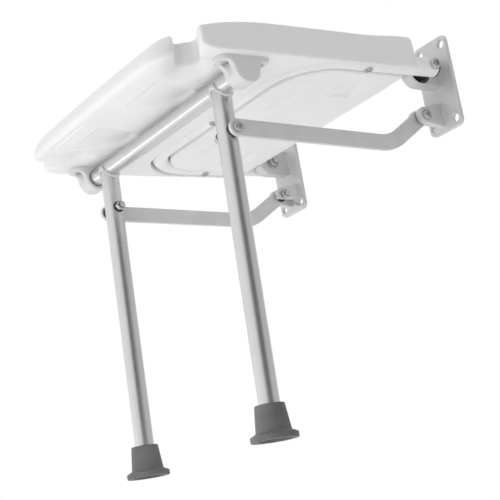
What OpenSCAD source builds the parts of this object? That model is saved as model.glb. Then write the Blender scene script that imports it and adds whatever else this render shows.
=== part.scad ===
// Fold-down wall seat with two drop-down legs.
// Millimetres, +Z up, +Y into the wall, +X to the right of a person facing the wall.
// Origin: on the wall plane, midway between the two brackets, at the centre height of the fixing holes.
// Drawn in use: seat level, legs standing on the floor.

/* [Seat panel] */
// Half of the seat's width
seat_half_w = 218; // [216:0.5:224]
// Distance from the wall to the front edge of the seat
seat_front = 463; // [458:1:470]
// Distance from the wall to the back edge of the seat
seat_rear = 74; // [73:1:80]
// Height of the underside of the seat before it is sloped
seat_bottom = 2; // [1.5:0.5:2.5]
// Height of the top of the seat before it is sloped
seat_top = 47; // [43:0.5:47.5]
// Slope of the seat down to the front, in degrees
seat_slope = 1.3; // [0:0.1:1.4]
// Thickness of the moulded skin
skin = 3; // [2.5:0.1:3.5]

/* [Frame] */
// Sideways position of the frame tube's straight parts
tube_x = 200; // [200:0.5:202]
// Outer radius of the frame tube
tube_r = 12.7; // [12.5:0.1:12.8]
// Wall of the tubes
tube_wall = 1.8; // [1.5:0.1:2.2]
// Distance from the wall to the frame tube's front bar
front_bar = 262; // [258:1:268]
// Bend radius of the frame tube
bend_r = 76; // [60:1:78]

/* [Pivots] */
// Distance from the wall to the wall pivots
pivot_y = 38.5; // [37:0.5:40]
// Height of the seat's wall pivot
pivot_z = 15.5; // [14.5:0.5:16.5]
// Height between the paired pivots, the same at the wall and at the legs
pivot_gap = 59.5; // [57:0.5:60]
// Distance from the wall to the cross tube
cross_y = 350; // [346:1:354]
// Height of the cross tube
cross_z = -20.5; // [-22:0.5:-20]

/* [Legs] */
// Sideways position of each leg
leg_x = 146; // [145.8:0.1:146.2]
// Outer radius of each leg
leg_r = 12.7; // [12.5:0.1:12.8]
// Height of the floor
floor_z = -455; // [-480:1:-430]
// Lean of the legs, feet to the front, in degrees
leg_lean = 0.9; // [0:0.1:1.2]
// Outer radius of the cross tube
cross_r = 12; // [11.5:0.1:12]

/* [Brackets] */
// Sideways position of the middle of each wall plate
plate_x = 178; // [176:0.5:180]
// Width of each wall plate
plate_w = 62; // [60:0.5:66]
// Height of each wall plate
plate_h = 132; // [128:1:134]
// Thickness of each wall plate
plate_t = 6; // [5.5:0.1:7]
// Fixing hole spacing, across
hole_dx = 42; // [40:0.5:44]
// Fixing hole spacing, up
hole_dz = 108; // [106:0.5:110]
// Fixing hole radius
hole_r = 6; // [5:0.25:6]

/* [Stays] */
// Height of the flat stay bars
stay_h = 22; // [20:0.5:23]
// Thickness of the flat stay bars
stay_t = 5; // [4.6:0.1:5]

/* [Hidden] */
$fn = 96;
stay_x = 166;
lug_in = 169;
lug_out = 187;
lug_r = 20;
lug_y = pivot_y + 4.5;
low_z = pivot_z - pivot_gap;
joint_z = cross_z - pivot_gap;
bend_y = -101;
bend_z = joint_z - 5;
foot_y = cross_y + (cross_z - floor_z - 25) * tan(leg_lean);
// the cross tube's place in the seat's own frame, which slopes about the wall pivot
sy = pivot_y + (cross_y - pivot_y) * cos(seat_slope) - (cross_z - pivot_z) * sin(seat_slope);
sz = pivot_z + (cross_y - pivot_y) * sin(seat_slope) + (cross_z - pivot_z) * cos(seat_slope);
nose_r = seat_top - seat_bottom + 1;
saddle_a = 180;
saddle_b = 208;
foot_h = 45;
cut = 0.5;

white = [0.93, 0.94, 0.94];
coat = [0.78, 0.79, 0.8];
alu = [0.82, 0.83, 0.85];
steel = [0.6, 0.61, 0.63];
dark = [0.12, 0.12, 0.13];
grey = [0.45, 0.46, 0.48];

// lies along X, from x = a to x = b, drawn in (y, z)
module along_x(a, b) { translate([a, 0, 0]) rotate([90, 0, 90]) linear_extrude(b - a) children(); }
// a cylinder along X
module rod_x(r, a, b, y, z) { translate([a, y, z]) rotate([0, 90, 0]) cylinder(r = r, h = b - a); }
// a cylinder along Y
module rod_y(r, a, b, x, z) { translate([x, a, z]) rotate([-90, 0, 0]) cylinder(r = r, h = b - a); }
// a hexagon along X
module hex_x(r, a, b, y, z) { translate([a, y, z]) rotate([0, 90, 0]) cylinder(r = r, h = b - a, $fn = 6); }
module both() { children(); mirror([1, 0, 0]) children(); }
// turns what is fixed to the seat about the wall pivot, front down
module sloped() { translate([0, -pivot_y, pivot_z]) rotate([seat_slope, 0, 0]) translate([0, pivot_y, -pivot_z]) children(); }

// ---- wall bracket ----
module bracket() {
  difference() {
    union() {
      // plate with rounded corners
      rotate([90, 0, 0]) linear_extrude(plate_t) {
        for (i = [-1, 1], j = [-1, 1]) translate([plate_x + i * (plate_w / 2 - 9), j * (plate_h / 2 - 9)]) circle(9);
        translate([plate_x - plate_w / 2 + 9, -plate_h / 2]) square([plate_w - 18, plate_h]);
        translate([plate_x - plate_w / 2, -plate_h / 2 + 9]) square([plate_w, plate_h - 18]);
      }
      // upper lug, round at the front
      along_x(lug_in, lug_out) {
        translate([-lug_y, pivot_z]) circle(lug_r);
        translate([-lug_y, pivot_z - lug_r]) square([lug_y - plate_t / 2, 2 * lug_r]);
      }
      // lower lug, tapered towards the front
      along_x(stay_x - 13, stay_x + 13) {
        translate([-pivot_y, low_z]) circle(12);
        polygon([[-plate_t / 2, low_z + 20], [-pivot_y + 2, low_z + 11.8], [-pivot_y + 2, low_z - 11.8], [-plate_t / 2, low_z - 17]]);
      }
    }
    // round pocket that takes the bush, with a bolt hole behind it
    rod_x(17, lug_out - 12, lug_out + 1, -lug_y + 1, pivot_z);
    rod_x(5.02, lug_in - 1, lug_out + 1, -pivot_y, pivot_z);
    // slot for the stay
    translate([stay_x - 4, -pivot_y - 30, low_z - 40]) cube([8, 30 + pivot_y - 13, 80]);
    rod_x(4.02, stay_x - 20, stay_x + 20, -pivot_y, low_z);
    // fixing holes
    for (i = [-1, 1], j = [-1, 1])
      rod_y(hole_r, -plate_t - 1, 1, plate_x + i * hole_dx / 2, j * hole_dz / 2);
  }
}
module wall_bracket_right() color(coat) bracket();
module wall_bracket_left() color(coat) mirror([1, 0, 0]) bracket();

// ---- seat's wall pivot ----
module upper_pivot_bushes() color(dark) both() difference() {
  rod_x(11, lug_out - 12, lug_out, -pivot_y, pivot_z);
  rod_x(5.02, lug_out - 13, lug_out + 1, -pivot_y, pivot_z);
}
module upper_pivot_bolts() color(steel) both() difference() {
  union() {
    rod_x(5, lug_in - 11, tube_x + tube_r + 0.4, -pivot_y, pivot_z);
    rod_x(8.6, tube_x + tube_r + 0.3, tube_x + tube_r + 3.3, -pivot_y, pivot_z);
    rod_x(7.2, tube_x + tube_r + 3.2, tube_x + tube_r + 4.6, -pivot_y, pivot_z);
    rod_x(5.4, tube_x + tube_r + 4.5, tube_x + tube_r + 5.3, -pivot_y, pivot_z);
  }
  hex_x(3.4, tube_x + tube_r + 2, tube_x + tube_r + 6, -pivot_y, pivot_z);
}
module upper_pivot_nuts() color(steel) both() difference() {
  union() {
    rod_x(11, lug_in - 1.8, lug_in, -pivot_y, pivot_z);
    hex_x(9.4, lug_in - 9, lug_in - 1.8, -pivot_y, pivot_z);
  }
  rod_x(5.02, lug_in - 15, lug_in + 1, -pivot_y, pivot_z);
}

// ---- seat panel ----
// Plan of the seat, drawn smaller all round by d.
module seat_plan(d) {
  difference() {
    union() {
      // body with side rails
      for (i = [-1, 1]) {
        translate([i * (seat_half_w - 14), -405]) circle(14 - d);
        translate([i * (seat_half_w - 10), -seat_rear - 10]) circle(10 - d);
      }
      translate([-seat_half_w + d, -405]) square([2 * (seat_half_w - d), 405 - seat_rear - 10]);
      translate([-seat_half_w + 10, -410 + d]) square([2 * (seat_half_w - 10), 410 - seat_rear - 2 * d]);
      translate([-seat_half_w + 14, -419 + d]) square([2 * (seat_half_w - 14), 60]);
      // front lobe, slightly bowed
      intersection() {
        translate([0, 4000 - seat_front]) circle(4000 - d, $fn = 720);
        union() {
          for (i = [-1, 1]) translate([i * 155, -seat_front + 31]) circle(29 - d);
          translate([-155, -seat_front - 2]) square([310, 70]);
          translate([-184 + d, -seat_front + 31]) square([2 * (184 - d), 25]);
        }
      }
    }
    // a notch at each front corner
    for (i = [0, 1]) mirror([i, 0, 0]) translate([146, -393]) rotate(-33.5) {
      for (j = [-1, 1]) translate([7.5, j * 5.25]) circle(9 + d);
      translate([7.5, -14.25 - d]) square([90, 28.5 + 2 * d]);
      translate([-1.5 - d, -5.25]) square([30, 10.5]);
    }
  }
}
// Side shape of the seat: the front edge rolls over.
module seat_side(d) {
  difference() {
    union() {
      translate([-seat_front + nose_r, seat_bottom]) circle(nose_r - d);
      translate([-seat_front + nose_r - 1, seat_bottom + d]) square([seat_front - seat_rear - nose_r + 1 - d, seat_top - seat_bottom - 2 * d]);
    }
    translate([-seat_front - 10, seat_bottom - 60]) square([seat_front, 60 + d]);
    translate([-seat_front - 10, seat_top - d]) square([seat_front, 60]);
  }
}
module seat_block(d) difference() {
  intersection() {
    translate([0, 0, seat_bottom + d]) linear_extrude(seat_top - seat_bottom - 2 * d) seat_plan(d);
    along_x(-seat_half_w - 1, seat_half_w + 1) seat_side(d);
  }
  // the tops of the side rails droop towards their front ends, outside the notches
  both() difference() {
    union() {
      translate([158, -408, seat_bottom]) cube([80, 36, 80]);
      translate([180, -425, seat_bottom]) cube([56, 17.5, 80]);
    }
    rod_x(80 - d, 150, 240, -372, seat_top - 80);
  }
}
// The U of the frame, as a solid of radius r.
module u_solid(r, y_end) {
  for (i = [-1, 1]) {
    rod_y(r, -front_bar + bend_r, y_end, i * tube_x, pivot_z);
    translate([i * (tube_x - bend_r), -front_bar + bend_r, pivot_z])
      rotate([0, 0, i > 0 ? -90 : 180]) rotate_extrude(angle = 90) translate([bend_r, 0]) circle(r);
  }
  rod_x(r, -tube_x + bend_r, tube_x - bend_r, -front_bar, pivot_z);
}
// Channel for the U, open downwards.
module u_channel(r) {
  u_solid(r, 0);
  for (i = [-1, 1]) {
    translate([i * tube_x - r, -front_bar + bend_r, seat_bottom - 5]) cube([2 * r, front_bar, pivot_z - seat_bottom + 5]);
    translate([i * (tube_x - bend_r), -front_bar + bend_r, seat_bottom - 5])
      rotate([0, 0, i > 0 ? -90 : 180]) rotate_extrude(angle = 90) translate([bend_r - r, 0]) square([2 * r, pivot_z - seat_bottom + 5]);
  }
  translate([-tube_x + bend_r, -front_bar - r, seat_bottom - 5]) cube([2 * (tube_x - bend_r), 2 * r, pivot_z - seat_bottom + 5]);
}
screw_xy = [[-tube_x, -150], [tube_x, -150], [0, -front_bar]];
saddle_screw_xy = [[194, -sy - 23], [194, -sy + 28]];
module seat_panel() color(white) sloped() difference() {
  seat_block(0);
  // hollow inside, leaving the skin and the pillars round the screws
  difference() {
    seat_block(skin);
    u_channel(tube_r + 0.05 + skin);
    for (p = screw_xy) translate([p[0], p[1], seat_bottom]) cylinder(r = 8, h = 60);
    for (i = [-1, 1], p = saddle_screw_xy) translate([i * p[0], p[1], seat_bottom]) cylinder(r = 7, h = 60);
    for (p = [[90, -165], [-90, -165], [0, -120], [0, -200], [100, -330], [-100, -330], [0, -340]])
      translate([p[0], p[1], seat_bottom]) cylinder(r = 6, h = 60);
    for (i = [-1, 1]) translate([i * 78, -424, seat_bottom]) cylinder(r = 48, h = 2 + skin);
    for (i = [-1, 1]) translate([i * 135 - 32, -160, seat_bottom]) cube([64, 46, 2 + skin]);
  }
  u_channel(tube_r + 0.05);
  // pilot holes
  for (p = screw_xy) translate([p[0], p[1], pivot_z]) cylinder(r = 2.02, h = 22);
  for (i = [-1, 1], p = saddle_screw_xy) translate([i * p[0], p[1], seat_bottom - 1]) cylinder(r = 2.02, h = 21);
  // half-moon recesses in the underside, in front of the cross tube
  for (i = [-1, 1]) difference() {
    translate([i * 78, -422, seat_bottom - 1]) cylinder(r = 45, h = 3);
    translate([i * 78 - 60, -422 - 60, seat_bottom - 2]) cube([120, 60, 5]);
  }
  // shallow recesses near the back
  for (i = [-1, 1]) translate([i * 135 - 27, -155, seat_bottom - 1]) cube([54, 36, 3]);
  // the end of the channel at the back is open to the bracket
}

// ---- frame ----
module seat_frame_tube() color(coat) sloped() difference() {
  u_solid(tube_r, -pivot_y + 8);
  difference() { u_solid(tube_r - tube_wall, 0); }
  for (i = [-1, 1]) rod_x(5.06, i * tube_x - 20, i * tube_x + 20, -pivot_y, pivot_z);
  for (p = screw_xy) translate([p[0], p[1], pivot_z - 20]) cylinder(r = 2.3, h = 40);
}
module frame_tube_plugs() color(dark) sloped() for (i = [-1, 1]) {
  rod_y(tube_r - tube_wall, -pivot_y + 5.6, -pivot_y + 8.2, i * tube_x, pivot_z);
  rod_y(tube_r, -pivot_y + 8.01, -pivot_y + 10.2, i * tube_x, pivot_z);
}
module frame_screws() color(steel) sloped() for (p = screw_xy) translate([p[0], p[1], pivot_z]) difference() {
  union() {
    translate([0, 0, -tube_r - 1]) cylinder(r = 2, h = tube_r + 18);
    translate([0, 0, -tube_r - 1.2]) cylinder(r = 6.8, h = 3.2);
    translate([0, 0, -tube_r - 2.2]) cylinder(r = 5.2, h = 1.1);
  }
  // the tube's own skin stays clear of the head
  u_clear(p);
  translate([-0.6, -2.2, -tube_r - 3]) cube([1.2, 4.4, 2]);
  translate([-2.2, -0.6, -tube_r - 3]) cube([4.4, 1.2, 2]);
}
// trims a screw head to the tube it sits on, keeping the shank
module u_clear(p) difference() {
  if (p[0] == 0) rod_x(tube_r, -20, 20, 0, 0); else rod_y(tube_r, -20, 20, 0, 0);
  translate([0, 0, -30]) cylinder(r = 2, h = 80);
}

// ---- saddles that carry the cross tube ----
module saddle_shape() difference() {
  union() {
    translate([-sy, sz]) circle(17.5);
    translate([-sy + 1.5, sz]) circle(17.5);
    translate([-sy - 17.5, sz]) square([36.5, seat_bottom - sz]);
    // ears
    polygon([[-sy - 36, seat_bottom], [-sy - 34.5, seat_bottom - 3], [-sy - 31, seat_bottom - 4.5], [-sy + 34, seat_bottom - 4.5], [-sy + 37, seat_bottom - 3], [-sy + 38, seat_bottom]]);
    // fillets between the ears and the hump
    translate([-sy - 29.5, seat_bottom - 16.5]) square([14, 13.5]);
    translate([-sy + 17, seat_bottom - 13.5]) square([10, 10.5]);
  }
  translate([-sy - 29.5, seat_bottom - 16.5]) circle(12);
  translate([-sy - 50, seat_bottom - 41]) square([20.5, 36.5]);
  translate([-sy - 40, seat_bottom - 41]) square([22.5, 24.5]);
  translate([-sy + 28, seat_bottom - 13.5]) circle(9);
  translate([-sy + 19, seat_bottom - 41]) square([20, 27.5]);
  translate([-sy + 28, seat_bottom - 41]) square([20, 36.5]);
}
module saddle() difference() {
  along_x(saddle_a, saddle_b) intersection() {
    saddle_shape();
    translate([-sy - 60, seat_bottom - 60]) square([120, 60]);
  }
  rod_x(cross_r + 0.08, saddle_a - 1, saddle_b - 4, -sy, sz);
  // wider mouth
  rod_x(cross_r + 1.4, saddle_a - 1, saddle_a + 2, -sy, sz);
  translate([194, saddle_screw_xy[0][1], seat_bottom - 60]) cylinder(r = 2.2, h = 70);
  translate([194, saddle_screw_xy[0][1], seat_bottom - 60]) cylinder(r = 5.9, h = 55);
  translate([194, saddle_screw_xy[1][1], seat_bottom - 60]) cylinder(r = 2.2, h = 70);
  translate([194, saddle_screw_xy[1][1], seat_bottom - 60]) cylinder(r = 5.9, h = 57);
}
module saddle_right() color(white) sloped() saddle();
module saddle_left() color(white) sloped() mirror([1, 0, 0]) saddle();
module saddle_screws() color(steel) sloped() both() for (k = [0, 1]) translate([194, saddle_screw_xy[k][1], seat_bottom - (k == 0 ? 5 : 3)]) difference() {
  union() {
    translate([0, 0, -1]) cylinder(r = 2, h = 23);
    translate([0, 0, -1.2]) cylinder(r = 5.3, h = 1.2);
    translate([0, 0, -2]) cylinder(r = 4, h = 0.9);
  }
  translate([-0.6, -2.2, -3]) cube([1.2, 4.4, 2.2]);
  translate([-2.2, -0.6, -3]) cube([4.4, 1.2, 2.2]);
}

// ---- leg frame ----
// Places a piece in the legs' frame, which leans about the cross tube.
module leaned() { translate([0, -cross_y, cross_z]) rotate([-leg_lean, 0, 0]) translate([0, cross_y, -cross_z]) children(); }
module leg_cross_tube() color(alu) difference() {
  rod_x(cross_r, -saddle_b + 5, saddle_b - 5, -cross_y, cross_z);
  rod_x(cross_r - tube_wall, -saddle_b, saddle_b, -cross_y, cross_z);
}
module cross_tube_end_caps() color(grey) both() rod_x(cross_r - tube_wall, saddle_b - 12, saddle_b - 5.2, -cross_y, cross_z);
module leg_tube() difference() {
  leaned() translate([leg_x, -cross_y, floor_z + 12]) cylinder(r = leg_r, h = cross_z - floor_z - 12);
  leaned() translate([leg_x, -cross_y, floor_z]) cylinder(r = leg_r - tube_wall, h = cross_z - floor_z + 10);
  rod_x(cross_r, leg_x - 20, leg_x + 20, -cross_y, cross_z);
  rod_x(4.02, leg_x - 20, leg_x + 20, -cross_y, joint_z);
}
module leg_tube_right() color(alu) leg_tube();
module leg_tube_left() color(alu) mirror([1, 0, 0]) leg_tube();
// A bead round each leg where it meets the cross tube.
module leg_welds() color(alu) both() difference() {
  intersection() {
    leaned() translate([leg_x, -cross_y, cross_z - 20]) cylinder(r = leg_r + 1.7, h = 20);
    rod_x(cross_r + 2.2, leg_x - 20, leg_x + 20, -cross_y, cross_z);
  }
  leaned() translate([leg_x, -cross_y, cross_z - 30]) cylinder(r = leg_r, h = 40);
  rod_x(cross_r, leg_x - 20, leg_x + 20, -cross_y, cross_z);
}
// Rubber foot: a tapered cup on a flared base.
module foot() difference() {
  translate([leg_x, -foot_y, floor_z]) rotate_extrude() polygon([[0, 0], [26.5, 0], [28.5, 2], [28.5, 5], [27, 6.5], [22.5, 8], [20.6, 11], [17.3, foot_h - 1], [16.4, foot_h], [0, foot_h]]);
  leaned() translate([leg_x, -cross_y, floor_z + 10]) cylinder(r = leg_r, h = 60);
  translate([leg_x, -foot_y, floor_z - 1]) cylinder(r = 20, h = 4);
}
module foot_right() color(grey) foot();
module foot_left() color(grey) mirror([1, 0, 0]) foot();
module foot_washers() color(steel) both() leaned() translate([leg_x, -cross_y, floor_z + 10]) cylinder(r = leg_r - 0.1, h = 2);

// ---- stays ----
a1 = atan2(bend_z - joint_z, bend_y + cross_y);
a2 = atan2(low_z - bend_z, -pivot_y - bend_y);
turn_r = 60;
turn_l = turn_r * tan((a2 - a1) / 2);
p1 = [bend_y - turn_l * cos(a1), bend_z - turn_l * sin(a1)];
p2 = [bend_y + turn_l * cos(a2), bend_z + turn_l * sin(a2)];
pc = [p1[0] - turn_r * sin(a1), p1[1] + turn_r * cos(a1)];
// one outline for the whole bar: lower edge out, upper edge back, the bend in short steps
function off(p, a, d) = [p[0] - d * sin(a), p[1] + d * cos(a)];
arc_n = 14;
function arc_pts(d) = [for (i = [0:arc_n]) let (a = a1 + (a2 - a1) * i / arc_n) [pc[0] + (turn_r - d) * sin(a), pc[1] - (turn_r - d) * cos(a)]];
module stay_shape() {
  translate([-cross_y, joint_z]) circle(stay_h / 2);
  translate([-pivot_y, low_z]) circle(stay_h / 2);
  polygon(concat([off([-cross_y, joint_z], a1, -stay_h / 2 + 0.02)], arc_pts(-stay_h / 2 + 0.02), [off([-pivot_y, low_z], a2, -stay_h / 2 + 0.02)],
    [off([-pivot_y, low_z], a2, stay_h / 2 - 0.02)], [for (i = [arc_n:-1:0]) arc_pts(stay_h / 2 - 0.02)[i]], [off([-cross_y, joint_z], a1, stay_h / 2 - 0.02)]));
}
module stay() difference() {
  along_x(stay_x - stay_t / 2, stay_x + stay_t / 2) stay_shape();
  // the pivot at the leg is the loose one
  rod_x(4.3, stay_x - 10, stay_x + 10, -cross_y, joint_z);
  rod_x(4.06, stay_x - 10, stay_x + 10, -pivot_y, low_z);
}
module stay_right() color(coat) stay();
module stay_left() color(coat) mirror([1, 0, 0]) stay();

// ---- stay bolts at the legs ----
module stay_leg_bolts() color(steel) both() difference() {
  union() {
    rod_x(4, leg_x - 25, stay_x + 4, -cross_y, joint_z);
    rod_x(7.2, stay_x + stay_t / 2 + 0.3, stay_x + stay_t / 2 + 2.6, -cross_y, joint_z);
    rod_x(6, stay_x + stay_t / 2 + 2.5, stay_x + stay_t / 2 + 4, -cross_y, joint_z);
    rod_x(4.6, stay_x + stay_t / 2 + 3.9, stay_x + stay_t / 2 + 4.7, -cross_y, joint_z);
  }
  hex_x(2.9, stay_x + stay_t / 2 + 1.6, stay_x + stay_t / 2 + 6, -cross_y, joint_z);
}
// Washers shaped to the leg, one outside against the stay and one inside under the nut.
module leg_saddle_washers() color(dark) both() difference() {
  union() {
    rod_x(9, leg_x + 5, stay_x - stay_t / 2 - 0.3, -cross_y, joint_z);
    rod_x(8, leg_x - leg_r - 1.6, leg_x - 5, -cross_y, joint_z);
  }
  leaned() translate([leg_x, -cross_y, joint_z - 20]) cylinder(r = leg_r, h = 40);
  rod_x(4.02, leg_x - 30, leg_x + 30, -cross_y, joint_z);
}
module stay_leg_nuts() color(steel) both() difference() {
  hex_x(7.5, leg_x - leg_r - 8.2, leg_x - leg_r - 1.6, -cross_y, joint_z);
  rod_x(4.02, leg_x - 30, leg_x, -cross_y, joint_z);
}

// ---- stay bolts at the wall ----
module stay_wall_bolts() color(steel) both() difference() {
  union() {
    rod_x(4, stay_x - 22, stay_x + 14, -pivot_y, low_z);
    rod_x(7.2, stay_x + 13, stay_x + 15.4, -pivot_y, low_z);
    rod_x(6, stay_x + 15.3, stay_x + 16.8, -pivot_y, low_z);
    rod_x(4.6, stay_x + 16.7, stay_x + 17.5, -pivot_y, low_z);
  }
  hex_x(2.9, stay_x + 14.4, stay_x + 19, -pivot_y, low_z);
}
module stay_wall_nuts() color(steel) both() difference() {
  hex_x(7.5, stay_x - 19.6, stay_x - 13, -pivot_y, low_z);
  rod_x(4.02, stay_x - 30, stay_x, -pivot_y, low_z);
}
module stay_wall_washers() color(dark) both() for (i = [-1, 1]) difference() {
  rod_x(9.5, stay_x + (i > 0 ? stay_t / 2 + 0.3 : -4), stay_x + (i > 0 ? 4 : -stay_t / 2 - 0.3), -pivot_y, low_z);
  rod_x(4.02, stay_x - 10, stay_x + 10, -pivot_y, low_z);
}

wall_bracket_right();
wall_bracket_left();
upper_pivot_bushes();
upper_pivot_bolts();
upper_pivot_nuts();
seat_panel();
seat_frame_tube();
frame_tube_plugs();
frame_screws();
saddle_right();
saddle_left();
saddle_screws();
leg_cross_tube();
cross_tube_end_caps();
leg_tube_right();
leg_tube_left();
leg_welds();
foot_right();
foot_left();
foot_washers();
leg_saddle_washers();
stay_right();
stay_left();
stay_leg_bolts();
stay_leg_nuts();
stay_wall_bolts();
stay_wall_nuts();
stay_wall_washers();
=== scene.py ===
import bpy
import math
import numpy as np
from mathutils import Matrix


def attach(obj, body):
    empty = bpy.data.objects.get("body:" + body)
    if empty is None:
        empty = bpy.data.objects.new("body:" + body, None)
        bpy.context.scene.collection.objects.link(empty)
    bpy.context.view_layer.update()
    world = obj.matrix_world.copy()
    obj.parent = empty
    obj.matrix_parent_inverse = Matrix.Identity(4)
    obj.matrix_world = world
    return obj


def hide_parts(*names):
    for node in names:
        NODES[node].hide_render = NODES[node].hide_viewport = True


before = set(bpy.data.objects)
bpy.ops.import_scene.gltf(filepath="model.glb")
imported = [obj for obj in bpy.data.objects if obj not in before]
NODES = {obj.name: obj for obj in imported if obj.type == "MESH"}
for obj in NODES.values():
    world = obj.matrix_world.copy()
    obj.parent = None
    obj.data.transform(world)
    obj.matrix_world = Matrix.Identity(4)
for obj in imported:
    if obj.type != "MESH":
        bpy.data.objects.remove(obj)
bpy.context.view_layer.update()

# ------------------------------------------------------------------ sizes, in millimetres, in the CAD frame
SLOPE = math.radians(1.3)          # the seat slopes down to the front about the wall pivot
PY, PZ = -38.5, 15.5               # wall pivot of the seat
LOWZ = PZ - 59.5                   # wall pivot of the stays
CY, CZ = -350.0, -20.5             # cross tube
JZ = CZ - 59.5                     # stay pivots at the legs
LEGX, LEGR, CR = 146.0, 12.7, 12.0
FLOORZ = -455.0
LEAN = math.radians(0.9)          # the legs lean, feet to the front
FOOTY = CY - (CZ - FLOORZ - 25) * math.tan(LEAN)
TX, TR, TW = 200.0, 12.7, 1.8      # frame tube
FB, BR = -262.0, 76.0              # its front bar and bend radius
ZB, ZT = 2.0, 47.0                 # underside and top of the seat, before the slope
STX, STT, STH = 166.0, 5.0, 22.0   # stays
c_, s_ = math.cos(SLOPE), math.sin(SLOPE)
SY = PY + c_ * (CY - PY) + s_ * (CZ - PZ)     # cross tube in the seat's own frame
SZ = PZ - s_ * (CY - PY) + c_ * (CZ - PZ)


def slope(p):
    """Points of the seat's own frame, carried to the row frame."""
    p = np.asarray(p, float)
    y, z = p[:, 1] - PY, p[:, 2] - PZ
    return np.c_[p[:, 0], PY + c_ * y - s_ * z, PZ + s_ * y + c_ * z]


def lean(p):
    """Points of the legs' own frame, carried to the row frame."""
    p = np.asarray(p, float)
    y, z = p[:, 1] - CY, p[:, 2] - CZ
    c, s = math.cos(LEAN), math.sin(LEAN)
    return np.c_[p[:, 0], CY + c * y + s * z, CZ - s * y + c * z]


# ------------------------------------------------------------------ signed distance shapes
def smin(a, b, k):
    h = np.clip(0.5 + 0.5 * (b - a) / k, 0, 1)
    return b * (1 - h) + a * h - k * h * (1 - h)


def smax(a, b, k):
    return -smin(-a, -b, k)


def rbox(x, y, x0, x1, y0, y1, r):
    qx = np.abs(x - (x0 + x1) / 2) - (x1 - x0) / 2 + r
    qy = np.abs(y - (y0 + y1) / 2) - (y1 - y0) / 2 + r
    return np.minimum(np.maximum(qx, qy), 0) + np.hypot(np.maximum(qx, 0), np.maximum(qy, 0)) - r


def extr(d, t, t0, t1, r):
    """A flat outline d drawn out from t0 to t1, its edges rounded by r."""
    a = d + r
    b = np.abs(t - (t0 + t1) / 2) - (t1 - t0) / 2 + r
    return np.minimum(np.maximum(a, b), 0) + np.hypot(np.maximum(a, 0), np.maximum(b, 0)) - r


def smooth(e0, e1, x):
    t = np.clip((x - e0) / (e1 - e0), 0, 1)
    return t * t * (3 - 2 * t)


def half(x, y, ax, ay, bx, by):
    """Distance to the left of the line from a to b is negative."""
    dx, dy = bx - ax, by - ay
    n = math.hypot(dx, dy)
    return ((x - ax) * dy - (y - ay) * dx) / n


def nets(f, lo, hi, h, steps=3):
    """Surface of f = 0 inside the box, as vertices and quads, by surface nets pulled onto the shape."""
    n = [int(math.ceil((b - a) / h)) + 1 for a, b in zip(lo, hi)]
    ax = [a + h * np.arange(k) for a, k in zip(lo, n)]
    v = np.empty(n, np.float64)
    for i0 in range(0, n[0], 24):
        X, Y, Z = np.meshgrid(ax[0][i0:i0 + 24], ax[1], ax[2], indexing="ij")
        v[i0:i0 + 24] = f(X, Y, Z)
    nc = tuple(k - 1 for k in n)
    total = nc[0] * nc[1] * nc[2]
    cnt = np.zeros(total)
    acc = np.zeros((3, total))
    edges = []
    for a in range(3):
        s0 = [slice(None)] * 3
        s1 = [slice(None)] * 3
        s0[a], s1[a] = slice(0, -1), slice(1, None)
        v0, v1 = v[tuple(s0)], v[tuple(s1)]
        cross = (v0 < 0) != (v1 < 0)
        idx = np.argwhere(cross)
        t = v0[cross] / (v0[cross] - v1[cross])
        p = idx.astype(float)
        p[:, a] += t
        b, c = (a + 1) % 3, (a + 2) % 3
        corners = []
        ok_all = np.ones(len(idx), bool)
        for db, dc in ((-1, -1), (0, -1), (0, 0), (-1, 0)):
            j = idx.copy()
            j[:, b] += db
            j[:, c] += dc
            ok = (j[:, b] >= 0) & (j[:, b] < nc[b]) & (j[:, c] >= 0) & (j[:, c] < nc[c])
            ok_all &= ok
            flat = (j[:, 0] * nc[1] + j[:, 1]) * nc[2] + j[:, 2]
            flat = np.where(ok, flat, 0)
            corners.append(flat)
            cnt += np.bincount(flat[ok], minlength=total)
            for q in range(3):
                acc[q] += np.bincount(flat[ok], weights=p[ok, q], minlength=total)
        quad = np.stack(corners, 1)[ok_all]
        flip = (v0[cross] >= 0)[ok_all]
        quad[flip] = quad[flip][:, ::-1]
        edges.append(quad)
    used = np.flatnonzero(cnt)
    remap = np.full(total, -1)
    remap[used] = np.arange(len(used))
    pts = (acc[:, used] / cnt[used]).T * h + np.array(lo)
    faces = remap[np.concatenate(edges)]
    e = 0.12 * h
    for _ in range(steps):
        x, y, z = pts.T
        d = f(x, y, z)
        g = np.stack([
            f(x + e, y, z) - f(x - e, y, z), f(x, y + e, z) - f(x, y - e, z), f(x, y, z + e) - f(x, y, z - e)], 1) / (2 * e)
        g2 = np.maximum((g * g).sum(1), 0.25)
        move = g * (d / g2)[:, None]
        length = np.linalg.norm(move, axis=1)
        move *= np.minimum(1, 0.6 * h / np.maximum(length, 1e-9))[:, None]
        pts = pts - move
    return pts, faces


# ------------------------------------------------------------------ meshes
def make(name, verts, faces, body, slot, replaces=(), angle=None, mirror=False, both=False, mat=None):
    """verts in millimetres. mirror gives the left-hand piece, both gives the two in one object."""
    v = np.asarray(verts, float)
    f = [list(map(int, q)) for q in faces]
    if mirror:
        v = v * [-1, 1, 1]
        f = [q[::-1] for q in f]
    if both:
        k = len(v)
        f = f + [[i + k for i in q][::-1] for q in f]
        v = np.concatenate([v, v * [-1, 1, 1]])
    me = bpy.data.meshes.new(name)
    me.from_pydata((v / 1000).tolist(), [], f)
    me.validate()
    me.polygons.foreach_set("use_smooth", [True] * len(me.polygons))
    if angle:
        me.set_sharp_from_angle(angle=math.radians(angle))
    me.update()
    ob = bpy.data.objects.new(name, me)
    bpy.context.scene.collection.objects.link(ob)
    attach(ob, body)
    if replaces:
        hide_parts(*replaces)
    ob.data.materials.append(MATS[mat or slot])
    return ob


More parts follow.
